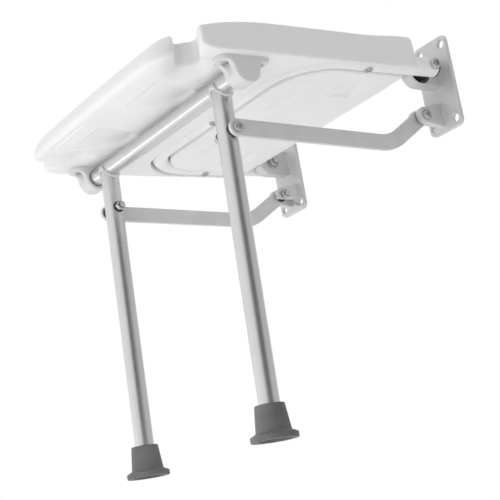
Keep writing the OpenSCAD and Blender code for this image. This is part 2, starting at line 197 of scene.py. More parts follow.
def join(parts):
    """One list of vertices and faces from several."""
    vs, fs, k = [], [], 0
    for v, f in parts:
        v = np.asarray(v, float)
        vs.append(v)
        fs += [[int(i) + k for i in q] for q in f]
        k += len(v)
    return np.concatenate(vs), fs


def rings(loops, close_start=True, close_end=True):
    """A skin over loops of equal length, all going the same way round, its ends closed."""
    n = len(loops[0])
    v = np.concatenate([np.asarray(q, float) for q in loops])
    f = []
    for i in range(len(loops) - 1):
        for k in range(n):
            a, b = i * n + k, i * n + (k + 1) % n
            f.append([a, b, b + n, a + n])
    if close_start:
        v = np.concatenate([v, [np.mean(loops[0], 0)]])
        m = len(v) - 1
        f += [[(k + 1) % n, k, m] for k in range(n)]
    if close_end:
        v = np.concatenate([v, [np.mean(loops[-1], 0)]])
        m = len(v) - 1
        o = (len(loops) - 1) * n
        f += [[o + k, o + (k + 1) % n, m] for k in range(n)]
    return v, f


def lathe(profile, n, centre, axis="z"):
    """profile is (along, radius), going up the axis."""
    t = np.arange(n) * 2 * math.pi / n
    out = []
    for a, r in profile:
        c, s = r * np.cos(t), r * np.sin(t)
        if axis == "z":
            q = np.c_[c, s, np.full(n, a)]
        elif axis == "x":
            q = np.c_[np.full(n, a), c, s]
        else:
            q = np.c_[s, np.full(n, a), c]
        out.append(q + np.array(centre, float))
    return rings(out)


def hexd(y, z, r):
    """Distance to a hexagon of corner radius r."""
    k = r * math.cos(math.pi / 6)
    y, z = np.abs(y), np.abs(z)
    return np.maximum(z, y * math.cos(math.pi / 6) + z * 0.5) - k


# ------------------------------------------------------------------ materials
MATS = {}


def nodes_of(name):
    m = bpy.data.materials.new(name)
    m.use_nodes = True
    t = m.node_tree
    for n in list(t.nodes):
        t.nodes.remove(n)
    out = t.nodes.new("ShaderNodeOutputMaterial")
    p = t.nodes.new("ShaderNodeBsdfPrincipled")
    t.links.new(p.outputs[0], out.inputs[0])
    co = t.nodes.new("ShaderNodeTexCoord")
    return m, t, p, co


def noise(t, co, scale, detail=4, rough=0.55, stretch=None):
    n = t.nodes.new("ShaderNodeTexNoise")
    n.inputs["Scale"].default_value = scale
    n.inputs["Detail"].default_value = detail
    n.inputs["Roughness"].default_value = rough
    if stretch:
        mp = t.nodes.new("ShaderNodeMapping")
        mp.inputs["Scale"].default_value = stretch
        t.links.new(co.outputs["Object"], mp.inputs["Vector"])
        t.links.new(mp.outputs[0], n.inputs["Vector"])
    else:
        t.links.new(co.outputs["Object"], n.inputs["Vector"])
    return n.outputs["Fac"]


def ramp(t, src, a, b, c0, c1):
    r = t.nodes.new("ShaderNodeValToRGB")
    r.color_ramp.elements[0].position, r.color_ramp.elements[1].position = a, b
    r.color_ramp.elements[0].color = (*c0, 1) if len(c0) == 3 else c0
    r.color_ramp.elements[1].color = (*c1, 1) if len(c1) == 3 else c1
    t.links.new(src, r.inputs[0])
    return r.outputs[0]


def mapr(t, src, a, b, lo, hi):
    r = t.nodes.new("ShaderNodeMapRange")
    r.inputs["From Min"].default_value, r.inputs["From Max"].default_value = a, b
    r.inputs["To Min"].default_value, r.inputs["To Max"].default_value = lo, hi
    t.links.new(src, r.inputs["Value"])
    return r.outputs[0]


def mixc(t, fac, a, b, mode="MIX"):
    m = t.nodes.new("ShaderNodeMix")
    m.data_type = "RGBA"
    m.blend_type = mode
    if isinstance(fac, float):
        m.inputs["Factor"].default_value = fac
    else:
        t.links.new(fac, m.inputs["Factor"])
    for sock, val in ((m.inputs["A"], a), (m.inputs["B"], b)):
        if isinstance(val, tuple):
            sock.default_value = (*val, 1)
        else:
            t.links.new(val, sock)
    return m.outputs["Result"]


def bump(t, p, heights):
    """heights is a list of (socket, distance in metres, strength), stacked."""
    last = None
    for src, dist, strength in heights:
        b = t.nodes.new("ShaderNodeBump")
        b.inputs["Distance"].default_value = dist
        b.inputs["Strength"].default_value = strength
        t.links.new(src, b.inputs["Height"])
        if last is not None:
            t.links.new(last, b.inputs["Normal"])
        last = b.outputs[0]
    t.links.new(last, p.inputs["Normal"])


def edge(t, a, b):
    """Lighter on worn outer edges, from the shape itself."""
    g = t.nodes.new("ShaderNodeNewGeometry")
    return mapr(t, g.outputs["Pointiness"], a, b, 0, 1)


def moulded(name, k):
    m, t, p, co = nodes_of(name)
    big = noise(t, co, 9, 3)
    mid = noise(t, co, 70, 5)
    fine = noise(t, co, 1500, 3, 0.6)
    grain = noise(t, co, 520, 4, 0.6)
    c = ramp(t, big, 0.35, 0.7, (0.800 * k, 0.802 * k, 0.800 * k), (0.835 * k, 0.836 * k, 0.834 * k))
    c = mixc(t, mapr(t, mid, 0.62, 0.85, 0.0, 0.35), c, (0.74 * k, 0.742 * k, 0.74 * k))
    t.links.new(c, p.inputs["Base Color"])
    t.links.new(mapr(t, mid, 0.3, 0.75, 0.40, 0.56), p.inputs["Roughness"])
    p.inputs["Specular IOR Level"].default_value = 0.42
    p.inputs["Subsurface Weight"].default_value = 0.06
    p.inputs["Subsurface Scale"].default_value = 0.004
    p.inputs["Subsurface Radius"].default_value = (1.0, 0.9, 0.8)
    bump(t, p, [(big, 0.0015, 0.22), (grain, 0.00012, 0.35), (fine, 0.00005, 0.35)])
    return m


def seat_white():
    return moulded("seat_white", 1.0)


# painted shade: the seat's white moulding darkened to 0.83, so the saddles look shaded under the seat's overhang; it is
# the same white plastic as the seat
def saddle_white_painted_shade():
    return moulded("saddle_white_painted_shade", 0.83)


def coated(name, k, metal):
    m, t, p, co = nodes_of(name)
    mid = noise(t, co, 45, 5)
    peel = noise(t, co, 900, 2, 0.4)
    fine = noise(t, co, 2600, 2, 0.5)
    c = ramp(t, mid, 0.35, 0.7, (0.60 * k, 0.605 * k, 0.61 * k), (0.65 * k, 0.655 * k, 0.66 * k))
    c = mixc(t, mapr(t, fine, 0.55, 0.75, 0.0, 0.25), c, (0.70 * k, 0.705 * k, 0.71 * k))
    c = mixc(t, edge(t, 0.53, 0.60), c, (0.74 * k, 0.745 * k, 0.75 * k))
    t.links.new(c, p.inputs["Base Color"])
    p.inputs["Metallic"].default_value = metal
    t.links.new(mapr(t, mid, 0.3, 0.7, 0.34, 0.46), p.inputs["Roughness"])
    bump(t, p, [(peel, 0.00008, 0.35), (fine, 0.00003, 0.3)])
    return m


def powder_coat():
    return coated("powder_coat", 1.0, 0.25)


def frame_coat():
    return coated("frame_coat", 1.32, 0.0)


def tube_aluminium():
    m, t, p, co = nodes_of("tube_aluminium")
    mid = noise(t, co, 22, 3)
    fine = noise(t, co, 1400, 2, 0.5)
    dirt = noise(t, co, 120, 5, 0.6)
    c = ramp(t, mid, 0.3, 0.75, (0.645, 0.65, 0.655), (0.675, 0.68, 0.685))
    c = mixc(t, mapr(t, dirt, 0.68, 0.85, 0.0, 0.15), c, (0.565, 0.57, 0.575))
    t.links.new(c, p.inputs["Base Color"])
    p.inputs["Metallic"].default_value = 1.0
    t.links.new(mapr(t, dirt, 0.3, 0.75, 0.27, 0.32), p.inputs["Roughness"])
    bump(t, p, [(fine, 0.000006, 0.3)])
    return m


def fastener_steel():
    m, t, p, co = nodes_of("fastener_steel")
    mid = noise(t, co, 240, 5)
    fine = noise(t, co, 3000, 2, 0.6)
    c = ramp(t, mid, 0.3, 0.75, (0.40, 0.405, 0.415), (0.54, 0.545, 0.555))
    c = mixc(t, edge(t, 0.52, 0.62), c, (0.84, 0.845, 0.85))
    t.links.new(c, p.inputs["Base Color"])
    p.inputs["Metallic"].default_value = 1.0
    t.links.new(mapr(t, mid, 0.3, 0.75, 0.16, 0.32), p.inputs["Roughness"])
    bump(t, p, [(fine, 0.00003, 0.4)])
    return m


def black_nylon():
    m, t, p, co = nodes_of("black_nylon")
    mid = noise(t, co, 200, 4)
    fine = noise(t, co, 2400, 2, 0.6)
    c = ramp(t, mid, 0.3, 0.75, (0.018, 0.018, 0.019), (0.035, 0.035, 0.037))
    t.links.new(c, p.inputs["Base Color"])
    t.links.new(mapr(t, mid, 0.3, 0.7, 0.38, 0.55), p.inputs["Roughness"])
    bump(t, p, [(fine, 0.00004, 0.4)])
    return m


def foot_rubber():
    m, t, p, co = nodes_of("foot_rubber")
    mid = noise(t, co, 60, 5)
    dust = noise(t, co, 380, 5, 0.7)
    fine = noise(t, co, 1900, 3, 0.6)
    c = ramp(t, mid, 0.3, 0.75, (0.100, 0.102, 0.105), (0.130, 0.132, 0.135))
    c = mixc(t, mapr(t, dust, 0.55, 0.8, 0.0, 0.35), c, (0.185, 0.185, 0.185))
    t.links.new(c, p.inputs["Base Color"])
    t.links.new(mapr(t, dust, 0.3, 0.7, 0.50, 0.68), p.inputs["Roughness"])
    bump(t, p, [(fine, 0.00008, 0.4), (dust, 0.0001, 0.2)])
    return m


for make_mat in (seat_white, saddle_white_painted_shade, powder_coat, frame_coat, tube_aluminium, fastener_steel, black_nylon, foot_rubber):
    MATS[make_mat.__name__] = make_mat()


# ------------------------------------------------------------------ seat panel
NOSE = 46.0


def outline(x, y):
    """Plan of the seat without its notches; negative inside."""
    ax = np.abs(x)
    body = rbox(x, y, -218, 218, -419, -74, np.where(y < -250, 6.0, 5.0))
    lobe = rbox(x, y - x * x / 8000, -184, 184, -463, -300, 30.0)
    return smin(body, lobe, 1.0), ax


def slot_cut(ax, y):
    """Distance to the notch at the front corner, and how far a point is on the rail side of it."""
    d = (math.cos(math.radians(33.5)), -math.sin(math.radians(33.5)))
    px, py = ax - 146, y + 393
    along = px * d[0] + py * d[1]
    perp = -px * d[1] + py * d[0]
    behind = smooth(-6, 6, perp) * smooth(126, 156, ax)
    qa, qp = 7.5 - along, np.abs(perp) - 5.25
    return np.minimum(np.maximum(qa, qp), 0) + np.hypot(np.maximum(qa, 0), np.maximum(qp, 0)) - 9.0, behind


def raised(ax, y):
    """The outer rim of each side rises a little towards the back."""
    return 3.8 * smooth(-162, -90, y) * smooth(201, 210, ax)


def tube_line(ax, y):
    """Distance in plan to the middle of the bent tube."""
    straight = np.abs(ax - TX)
    bar = np.abs(y - FB)
    cx, cy = TX - BR, FB + BR
    bend = np.abs(np.hypot(ax - cx, y - cy) - BR)
    d = np.where(y > cy, straight, np.where(ax < cx, bar, bend))
    corner = smooth(20, 45, np.minimum(ax - cx + 30, cy - y + 30)) * smooth(0, 10, ax - cx + 5) * smooth(0, 10, cy - y + 5)
    return d, corner


def scoop(ax, y, planes, k, soft):
    d = None
    for q in planes:
        h = half(ax, y, *q)
        d = h if d is None else smax(d, h, k)
    return 1 - smooth(-soft, 0, d)


def depth(x, y):
    """How far the underside is pressed in."""
    ax = np.abs(x)
    # large scoops in front of the cross tube
    m = scoop(ax, y, [(27, -427, 125, -427), (125, -424, 100, -352), (102, -346, 50, -346), (50, -352, 27, -424)], 12, 9)
    d = m * (2.0 + 6.5 * smooth(-432, -345, y))
    # faint scoops behind the front bar
    m = scoop(ax, y, [(48, -220, 112, -220), (112, -220, 119, -192), (119, -192, 54, -192), (54, -192, 48, -220)], 9, 7)
    d = d + m * (1.0 + 2.8 * smooth(-224, -188, y))
    # scoops near the back
    m = scoop(ax, y, [(109, -162, 160, -162), (158, -163, 173, -138), (173, -138, 166, -106), (170, -107, 109, -107), (109, -107, 109, -162)], 10, 8)
    d = d + m * (1.5 + 5.6 * smooth(-168, -102, y))
    # one narrow slot near the front edge
    px = x - np.clip(x, -118, -30)
    d = d + 2.2 * (1 - smooth(0, 4.2, np.hypot(px, y + 449.5) - 1.2))
    # small dents left by the mould
    for cx, cy, r in ((82, -158, 6), (155, -216, 5), (9, -383, 6), (138, -378, 7), (128, -366, 5), (30, -180, 5)):
        d = d + 1.4 * np.exp(-(((ax - cx) / r) ** 2 + ((y - cy) / (0.7 * r)) ** 2))
    return d


def seat_shape(x, y, z):
    p0, ax = outline(x, y)
    p0 = p0 + 0.015 * np.maximum(z - ZB - 8, 0)
    rim = raised(ax, y)
    cut, behind = slot_cut(ax, y)
    p = smax(p0, -cut, 9.0)
    zc = (ZB + ZT) / 2
    # the lower edge is rounder along the front
    r = np.where(z > zc, 4.5, 6.0 + 7 * smooth(-395, -425, y) * (1 - behind))
    # a low rim runs along the outer edge underneath
    zw = z - rim * np.clip((z - zc) / (ZT - zc), 0, 1) + 1.1 * smooth(201, 212, ax) * np.clip((zc - z) / (zc - ZB), 0, 1)
    a = p + r
    b = np.abs(zw - zc) - (ZT - ZB) / 2 + r
    f = np.minimum(np.maximum(a, b), 0) + np.hypot(np.maximum(a, 0), np.maximum(b, 0)) - r
    # the underside curves up towards the notches, and the front ends of the rails rise
    f = smax(f, ZB + 12.5 * np.clip(1 - cut / 27, 0, 1) ** 2 * (1 - smooth(165, 195, ax)) - z, 2.0)
    t = np.clip(-y - 389, 0, 50)
    f = smax(f, ZB + (60 - np.sqrt(3600.0 - t * t)) * behind * smooth(160, 185, ax) - z, 2.0)
    # the front rolls over, and so do the front ends of the side rails
    low = 2.6 * smooth(-384, -428, y) * (1 - behind)
    yn = y - x * x / 8000 + 463 - NOSE
    n = np.hypot(np.minimum(yn, 0), np.maximum(z - (ZT + 0.5 + rim - low - NOSE), 0)) - NOSE
    f = smax(f, n, 3.0)
    p2 = rbox(x, y - x * x / 8000, -197, 197, -463, 400, 50.0)
    n = np.hypot(np.maximum(p2 + NOSE, 0), np.maximum(z - (ZT + 0.5 + rim - low - NOSE), 0)) - NOSE
    f = smax(f, n * (1 - behind) + f * behind, 3.0)
    t = np.clip(-y - 270, 0, 175)
    t2 = np.clip(-y - 365, 0, 45)
    f = smax(f, z - (ZT + rim - (t * t / 1700 + t2 * t2 / 1150) * behind * smooth(148, 188, ax)), 3.0)
    # the front lobe is a little lower than the rails
    f = smax(f, z - (ZT + rim - 2.8 * smooth(-384, -428, y) * (1 - behind)), 3.0)
    # and the back edge of the top is well rounded
    f = smax(f, np.hypot(np.maximum(y + 88, 0), np.maximum(z - (ZT + rim - 14), 0)) - 14, 2.0)
    # a gentle hollow in the top
    dish = 3.2 * smooth(0, 150, -p0 - 12) * smooth(0, 1, (z - 25) / 15)
    f = smax(f, z - (ZT + rim - dish), 2.0)
    # underside pressed in
    f = np.maximum(f, np.where(z < 14, (ZB + depth(x, y)) - z, -50.0))
    # channel for the tube, a little wide in the bends
    d, corner = tube_line(ax, y)
    w = 13.15 + 1.6 * corner
    g = np.where(z > PZ, np.hypot(d, z - PZ), d) - w
    f = smax(f, -g, 2.6)
    return f


sv, sf = nets(seat_shape, (-221, -466, -2), (221, -72, 54), 1.7)
make("seat_shell", slope(sv), sf, "seat", "seat_white", ["seat_panel"])


# ------------------------------------------------------------------ wall brackets
def bracket_shape(x, y, z):
    plate = extr(rbox(x, z, 147, 209, -66, 66, 9.0), y, -6, 0, 1.1)
    seg = np.hypot(y - np.clip(y, -43.0, 0), z - PZ) - 20.0
    upper = extr(np.maximum(seg, y + 1), x, 169, 187, 2.0)
    low = np.maximum(half(y, z, -3, -24, -36.5, -32.2), half(y, z, -36.5, -55.8, -3, -61))
    low = np.maximum(low, np.maximum(-36.5 - y, y + 3))
    low = np.minimum(low, np.hypot(y - PY, z - LOWZ) - 12)
    lower = extr(low, x, 153, 179, 2.0)
    f = smin(plate, upper, 2.5)
    f = smin(f, lower, 2.5)
    pocket = np.maximum(np.hypot(y + 42, z - PZ) - 17, 175 - x)
    f = smax(f, -pocket, 1.8)
    f = smax(f, 5.02 - np.hypot(y - PY, z - PZ), 0.6)
    slot = np.maximum(np.maximum(np.abs(x - STX) - 4, y + 13), np.abs(z - LOWZ) - 40)
    f = smax(f, -slot, 1.2)
    f = smax(f, 4.05 - np.hypot(y - PY, z - LOWZ), 0.6)
    hx = np.abs(x - 178) - 21
    hz = np.abs(z) - 54
    f = smax(f, 6 - np.hypot(hx, hz), 0.7)
    f = smax(f, y, 0.4)
    return f


bv, bf = nets(bracket_shape, (144, -67, -67), (212, 2.5, 67), 0.95)
make("bracket_casting_right", bv, bf, "wall_brackets", "powder_coat", ["wall_bracket_right"])
make("bracket_casting_left", bv, bf, "wall_brackets", "powder_coat", ["wall_bracket_left"], mirror=True)


# ------------------------------------------------------------------ saddles
def saddle_shape(x, y, z):
    dy = y - SY
    hump = np.hypot(dy - np.clip(dy, 0, 1.5), z - SZ) - 17.5
    col = rbox(dy, z, -17.5, 19, SZ, ZB + 8, 0.5)
    ears = rbox(dy, z, -60, 60, ZB - 4.5, ZB + 12, 3.0)
    f2 = smin(np.minimum(hump, col), ears, 14.0)
    f = extr(f2, x, 180, 208, 2.4)
    plan = rbox(x, dy, 180, 208, -37, 38, np.where(dy < 0, 13.9, 9.0))
    f = smax(f, plan, 2.6)
    f = smax(f, z - ZB - 2.0, 0.2)
    bore = np.maximum(np.hypot(dy, z - SZ) - 12.1, x - 204)
    f = smax(f, -bore, 0.6)
    mouth = np.maximum(np.hypot(dy, z - SZ) - 13.3, x - 181.6)
    f = smax(f, -mouth, 1.0)
    for k, top in ((-23, ZB - 5), (28, ZB - 3)):
        r = np.hypot(x - 194, dy - k)
        f = smax(f, -np.maximum(r - 6.5, z - top), 0.9)
        f = smax(f, -(r - 2.2), 0.2)
    return f


av, af = nets(saddle_shape, (177, SY - 42, SZ - 20), (211, SY + 44, ZB + 4), 0.85)
av = slope(av)
# the saddles take the white moulding with painted shade for the seat's overhang
make("saddle_moulding_right", av, af, "seat", "seat_white", ["saddle_right"], mat="saddle_white_painted_shade")
make("saddle_moulding_left", av, af, "seat", "seat_white", ["saddle_left"], mirror=True, mat="saddle_white_painted_shade")

# ------------------------------------------------------------------ bent frame tube
pts = [(TX, y) for y in np.linspace(-30.5, FB + BR, 14)]
pts += [(TX - BR + BR * math.cos(a), FB + BR - BR * math.sin(a)) for a in np.linspace(0, math.pi / 2, 20)[1:]]
pts += [(x, FB) for x in np.linspace(TX - BR, 0, 10)[1:]]
pts = np.array(pts + [(-x, y) for x, y in pts[::-1][1:]])
tan = np.gradient(pts, axis=0)
tan /= np.linalg.norm(tan, axis=1)[:, None]
nrm = np.c_[-tan[:, 1], tan[:, 0]]
ang = np.arange(64) * 2 * math.pi / 64


def ring_at(p, n, r):
    return np.c_[p[0] + r * np.cos(ang) * n[0], p[1] + r * np.cos(ang) * n[1], PZ + r * np.sin(ang)]


def tube_end(i, sign):
    """Rim, bore and bottom of an open end; sign +1 is the start of the line."""
    p, n, t = pts[i], nrm[i], tan[i] * sign
    steps = [(9.0, TR - TW), (0.5, TR - TW), (0.12, TR - TW + 0.35), (0, TR - 0.5), (0.15, TR - 0.12), (0.5, TR)]
    return [ring_at(p + t * a, n, r) for a, r in steps]


loops = tube_end(0, 1) + [ring_at(pts[i], nrm[i], TR) for i in range(1, len(pts) - 1)] + tube_end(-1, -1)[::-1]
tv, tf = rings(loops)
tf = [q[::-1] for q in tf]
make("frame_tube", slope(tv), tf, "seat", "powder_coat", ["seat_frame_tube"], angle=50, mat="frame_coat")


# ------------------------------------------------------------------ leg frame
def cope(r_y):
    return CZ - math.sqrt(max(CR * CR - r_y * r_y, 0))


n = 96
th = np.arange(n) * 2 * math.pi / n
loops = []
for z, r in ((FLOORZ + 12, LEGR - 0.6), (FLOORZ + 12.6, LEGR)):
    loops.append(np.c_[LEGX + r * np.cos(th), CY + r * np.sin(th), np.full(n, z)])
for k in range(1, 12):
    z0 = FLOORZ + 12.6 + (JZ + 40 - FLOORZ - 12.6) * k / 11
    loops.append(np.c_[LEGX + LEGR * np.cos(th), CY + LEGR * np.sin(th), np.full(n, min(z0, -40.0))])
for r in (LEGR, 9.0, 5.0, 1.0):
    loops.append(np.array([(LEGX + r * math.cos(a), CY + r * math.sin(a), cope(r * math.sin(a))) for a in th]))
lv, lf = rings(loops)
lv = lean(lv)
make("leg_right_tube", lv, lf, "legs", "tube_aluminium", ["leg_tube_right"], angle=40)
make("leg_left_tube", lv, lf, "legs", "tube_aluminium", ["leg_tube_left"], angle=40, mirror=True)

prof = [(-203, CR - 0.8), (-202.2, CR)] + [(x, CR) for x in np.linspace(-180, 180, 19)] + [(202.2, CR), (203, CR - 0.8)]
make("cross_tube", *lathe(prof, 96, (0, CY, CZ), "x"), "legs", "tube_aluminium", ["leg_cross_tube"], angle=40)

# weld beads, laid in overlapping ripples
loops = []
m = 168
rng = np.random.RandomState(7)
jit = np.convolve(np.tile(rng.rand(m), 3), np.ones(5) / 5, "same")[m:2 * m]
for i in range(m):
    a = 2 * math.pi * i / m
    ripple = 0.5 + 0.5 * math.cos(2 * math.pi * 24 * i / m)
    r0 = 2.3 + 0.35 * ripple + 1.0 * (jit[i] - 0.5)
    rho = LEGR + 0.15
    cy_ = rho * math.sin(a)
    z = CZ - math.sqrt(max((CR + 0.2) ** 2 - cy_ * cy_, 0.0)) - 0.2
    c = np.array([LEGX + rho * math.cos(a), CY + cy_, z])
    out = np.array([math.cos(a), math.sin(a), 0.0])
    up = np.array([0, 0, 1.0])
    q = np.arange(14) * 2 * math.pi / 14
    loops.append(c + r0 * (np.cos(q)[:, None] * out + 1.7 * np.sin(q)[:, None] * up))
k = 14
wv = lean(np.concatenate(loops))
wf = []
for i in range(m):
    for j in range(k):
        a, b = i * k + j, i * k + (j + 1) % k
        c, d = ((i + 1) % m) * k + (j + 1) % k, ((i + 1) % m) * k + j
        wf.append([a, d, c, b])
make("weld_beads", wv, wf, "legs", "tube_aluminium", ["leg_welds"], both=True)

# rubber feet
prof = [(FLOORZ + 3, 0.5), (FLOORZ + 3, 19.4), (FLOORZ + 2.6, 20.0), (FLOORZ + 0.5, 20.2), (FLOORZ, 20.9), (FLOORZ, 27.8), (FLOORZ + 0.2, 28.2),
        (FLOORZ + 0.7, 28.45), (FLOORZ + 3.6, 28.5), (FLOORZ + 5.9, 28.5), (FLOORZ + 6.4, 28.3), (FLOORZ + 6.7, 27.8), (FLOORZ + 8.0, 25.2),
        (FLOORZ + 9.5, 22.2), (FLOORZ + 9.9, 21.6), (FLOORZ + 10.8, 21.2), (FLOORZ + 16, 20.6), (FLOORZ + 24, 19.75), (FLOORZ + 32, 18.9),
        (FLOORZ + 40.2, 18.0), (FLOORZ + 41.0, 17.75), (FLOORZ + 41.4, 17.3), (FLOORZ + 41.5, 15.6), (FLOORZ + 41.4, 13.4), (FLOORZ + 40.8, 12.8),
        (FLOORZ + 30, 12.76), (FLOORZ + 11, 12.76), (FLOORZ + 10, 12.0), (FLOORZ + 10, 0.5)]
fv, ff = lathe(prof, 96, (LEGX, FOOTY, 0), "z")
make("foot_rubber_right", fv, ff, "legs", "foot_rubber", ["foot_right"], angle=60)
make("foot_rubber_left", fv, ff, "legs", "foot_rubber", ["foot_left"], angle=60, mirror=True)

# ------------------------------------------------------------------ stays
BY, BZ = -101.0, JZ - 5.0
a1 = math.atan2(BZ - JZ, BY - CY)
a2 = math.atan2(LOWZ - BZ, PY - BY)
RT = 60.0
tl = RT * math.tan((a2 - a1) / 2)
p1 = (BY - tl * math.cos(a1), BZ - tl * math.sin(a1))
pc = (p1[0] - RT * math.sin(a1), p1[1] + RT * math.cos(a1))


def arc(cx, cy, r, t0, t1, k):
    return [(cx + r * math.cos(t), cy + r * math.sin(t)) for t in np.linspace(t0, t1, k)]


H2 = STH / 2
outline_pts = arc(CY, JZ, H2, a1 + math.pi / 2, a1 + 3 * math.pi / 2, 40)
outline_pts += arc(pc[0], pc[1], RT + H2, a1 - math.pi / 2, a2 - math.pi / 2, 40)
outline_pts += arc(PY, LOWZ, H2, a2 - math.pi / 2, a2 + math.pi / 2, 40)
outline_pts += arc(pc[0], pc[1], RT - H2, a2 - math.pi / 2, a1 - math.pi / 2, 40)


def flat_bar(loops2, x0, x1, bevel):
    cu = bpy.data.curves.new("bar", "CURVE")
    cu.dimensions = "2D"
    cu.fill_mode = "BOTH"
    cu.extrude = ((x1 - x0) / 2 - bevel) / 1000
    cu.bevel_depth = bevel / 1000
    cu.bevel_resolution = 2
    cu.offset = -bevel / 1000
    for lp in loops2:
        sp = cu.splines.new("POLY")
        sp.points.add(len(lp) - 1)
        for q, (a, b) in zip(sp.points, lp):
            q.co = (a / 1000, b / 1000, 0, 1)
        sp.use_cyclic_u = True
    ob = bpy.data.objects.new("bar", cu)
    bpy.context.scene.collection.objects.link(ob)
    bpy.context.view_layer.update()
    me = bpy.data.meshes.new_from_object(ob.evaluated_get(bpy.context.evaluated_depsgraph_get()))
    v = np.array([q.co[:] for q in me.vertices]) * 1000
    f = [list(q.vertices) for q in me.polygons]
    bpy.data.objects.remove(ob)
    bpy.data.curves.remove(cu)
    bpy.data.meshes.remove(me)
    # weld the doubled points that the curve leaves along its bevel
    key = np.round(v, 3)
    _, first, inv = np.unique(key, axis=0, return_index=True, return_inverse=True)
    inv = inv.ravel()
    v = v[first]
    g = []
    for q in f:
        q2 = []
        for i in q:
            j = int(inv[i])
            if not q2 or q2[-1] != j:
                q2.append(j)
        if len(q2) > 1 and q2[0] == q2[-1]:
            q2.pop()
        if len(q2) > 2:
            g.append(q2)
    return np.c_[v[:, 2] + (x0 + x1) / 2, v[:, 0], v[:, 1]], g


hole1 = arc(CY, JZ, 4.3, 0, -2 * math.pi, 33)[:-1]
hole2 = arc(PY, LOWZ, 4.06, 0, -2 * math.pi, 33)[:-1]
yv, yf = flat_bar([outline_pts, hole1, hole2], STX - STT / 2, STX + STT / 2, 0.7)
make("stay_bar_flat_right", yv, yf, "stay_bar_right", "powder_coat", ["stay_right"], angle=35)
make("stay_bar_flat_left", yv, yf, "stay_bar_left", "powder_coat", ["stay_left"], angle=35, mirror=True)


# ------------------------------------------------------------------ fasteners
def button(x0, y, z, r, h, sock, deep):
    """Domed head on +X with a hexagon socket."""
    def f(X, Y, Z):
        q = np.hypot(Y - y, Z - z)
        R = (r * r + (h * 1.25) ** 2) / (2 * h * 1.25)
        d = np.hypot(q, X - (x0 + 0.9 + h * 1.25 - R)) - R
        d = smax(d, q - r, 0.8)
        d = smax(d, x0 - X, 0.5)
        d = smax(d, X - (x0 + h), 0.7)
        s = np.maximum(hexd(Y - y, Z - z, sock), x0 + h - deep - X)
        return smax(d, -s, 0.45)
    return nets(f, (x0 - 1, y - r - 1, z - r - 1), (x0 + h + 1.2, y + r + 1, z + r + 1), 0.34)


def shank(x0, x1, y, z, r, thread_to):
    """Plain shank with a rolled thread from x0 to thread_to."""
    prof = [(x0, r * 0.72), (x0 + 0.7, r * 0.95)]
    x = x0 + 0.9
    while x < thread_to - 0.6:
        prof += [(x, r * 0.90), (x + 0.5, r * 0.995)]
        x += 1.0
    prof += [(thread_to, r), (x1, r)]
    return lathe(prof, 32, (0, y, z), "x")


def nut(x0, x1, y, z, r, bore, collar):
    """Hexagon nut with chamfers, a nylon collar on the low X side."""
    def f(X, Y, Z):
        q = np.hypot(Y - y, Z - z)
        d = hexd(Y - y, Z - z, r)
        d = smax(d, q - (r * 0.985 - 0.9 * np.maximum(np.abs(X - (x0 + collar + x1) / 2) - (x1 - x0 - collar) / 2 + 0.9, 0)), 0.3)
        d = smax(d, np.abs(X - (x0 + collar + x1) / 2) - (x1 - x0 - collar) / 2, 0.3)
        if collar:
            c = smax(q - r * 0.80, x0 - X, 1.2)
            c = np.maximum(c, X - x1 + 1)
            d = smin(d, c, 0.5)
        return smax(d, bore - q, 0.4)
    return nets(f, (x0 - 1, y - r - 1, z - r - 1), (x1 + 1, y + r + 1, z + r + 1), 0.36)


def disc(x0, x1, y, z, r, bore):
    e = 0.35
    return lathe([(x0, bore), (x0, r - e), (x0 + e * 0.3, r - e * 0.3), (x0 + e, r), (x1 - e, r), (x1 - e * 0.3, r - e * 0.3), (x1, r - e), (x1, bore)], 64, (0, y, z), "x")


hx = TX + TR
make("pivot_bolts", *join([button(hx + 0.3, PY, PZ, 8.6, 4.6, 4.0, 3.6), shank(158, hx + 1.2, PY, PZ, 4.95, 168)]),
     "wall_brackets", "fastener_steel", ["upper_pivot_bolts"], both=True)
make("pivot_nuts", *join([nut(160, 167.2, PY, PZ, 9.4, 5.02, 1.8), disc(167.25, 169, PY, PZ, 11, 5.05)]),
     "wall_brackets", "fastener_steel", ["upper_pivot_nuts"], both=True)
sx = STX + STT / 2 + 0.3
make("leg_bolts", *join([button(sx, CY, JZ, 7.2, 4.0, 2.9, 2.6), shank(121, sx + 0.8, CY, JZ, 3.97, 132)]),
     "legs", "fastener_steel", ["stay_leg_bolts"], both=True)
make("leg_nuts", *nut(125.1, 131.7, CY, JZ, 7.5, 4.02, 1.6), "legs", "fastener_steel", ["stay_leg_nuts"], both=True)
make("wall_stay_bolts", *join([button(STX + 13, PY, LOWZ, 7.2, 4.0, 2.9, 2.6), shank(144, STX + 13.8, PY, LOWZ, 3.97, 153)]),
     "wall_brackets", "fastener_steel", ["stay_wall_bolts"], both=True)
make("wall_stay_nuts", *nut(146.4, 153, PY, LOWZ, 7.5, 4.02, 1.6), "wall_brackets", "fastener_steel", ["stay_wall_nuts"], both=True)


